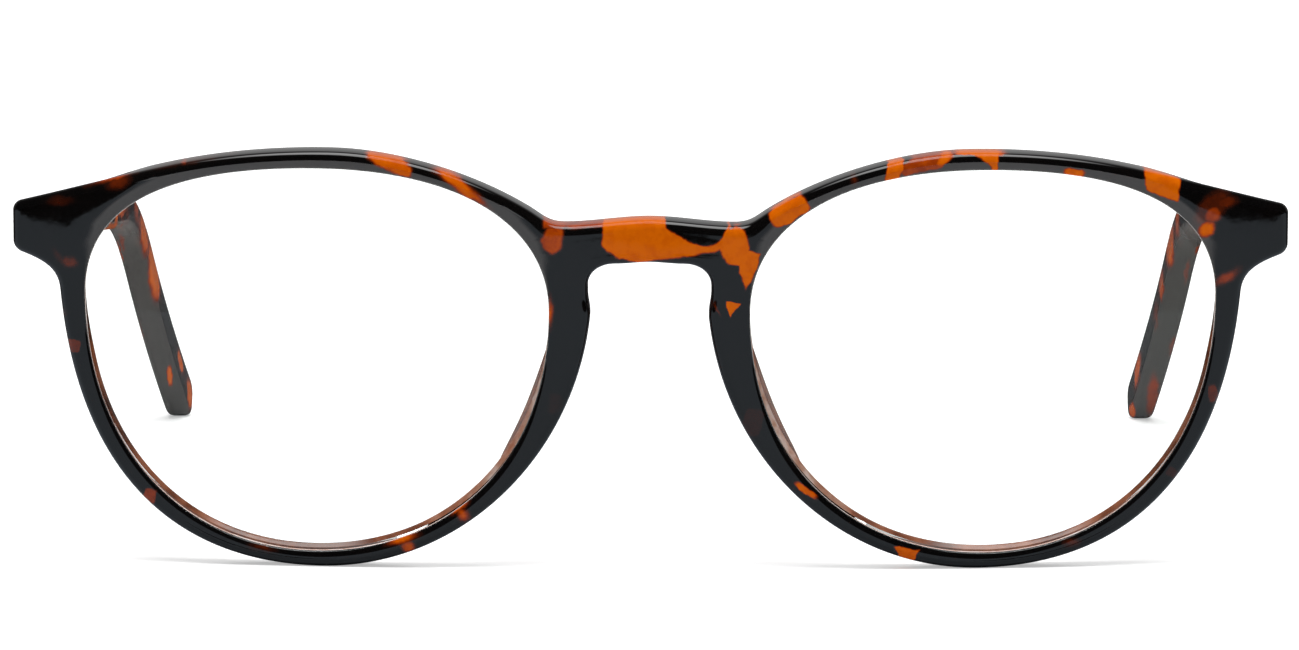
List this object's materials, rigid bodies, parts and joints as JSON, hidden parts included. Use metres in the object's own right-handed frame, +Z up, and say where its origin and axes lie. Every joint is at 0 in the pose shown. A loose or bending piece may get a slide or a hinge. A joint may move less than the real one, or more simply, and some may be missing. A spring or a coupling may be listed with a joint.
{
  "type": "eyewear",
  "caption": "Round full-rim glasses in dark tortoise plastic with clear lenses, a keyhole bridge and folding arms.",
  "frame": {"origin": "centre of the bounding box's bottom, on the table the open glasses stand on", "axes": "+Z up, +Y from the front back along the arms, +X to the wearer's left, so the front looks along -Y"},
  "size_m": [0.1384, 0.1431, 0.0457],
  "materials": {
    "tortoise": "polished",
    "clear_lens": "clear",
    "steel": "satin"
  },
  "bodies": {
    "front": {"frame_front": "tortoise", "lens_right": "clear_lens", "lens_left": "clear_lens", "nose_pad_right": "tortoise", "nose_pad_left": "tortoise", "front_hinge_right": "steel", "front_hinge_left": "steel", "hinge_screw_right": "steel", "hinge_screw_left": "steel"},
    "arm_right": {"temple_right": "tortoise", "temple_hinge_right": "steel", "core_wire_right": "steel"},
    "arm_left": {"temple_left": "tortoise", "temple_hinge_left": "steel", "core_wire_left": "steel"}
  },
  "joints": [
    {"name": "arm_right_fold", "type": "hinge", "parent": "front", "child": "arm_right", "pos_m": [-0.0626, -0.05948, 0.03694], "axis": [0, 0.0678, -0.9977], "range_deg": [0, 87]},
    {"name": "arm_left_fold", "type": "hinge", "parent": "front", "child": "arm_left", "pos_m": [0.0626, -0.05948, 0.03694], "axis": [0, -0.0678, 0.9977], "range_deg": [0, 79]}
  ]
}
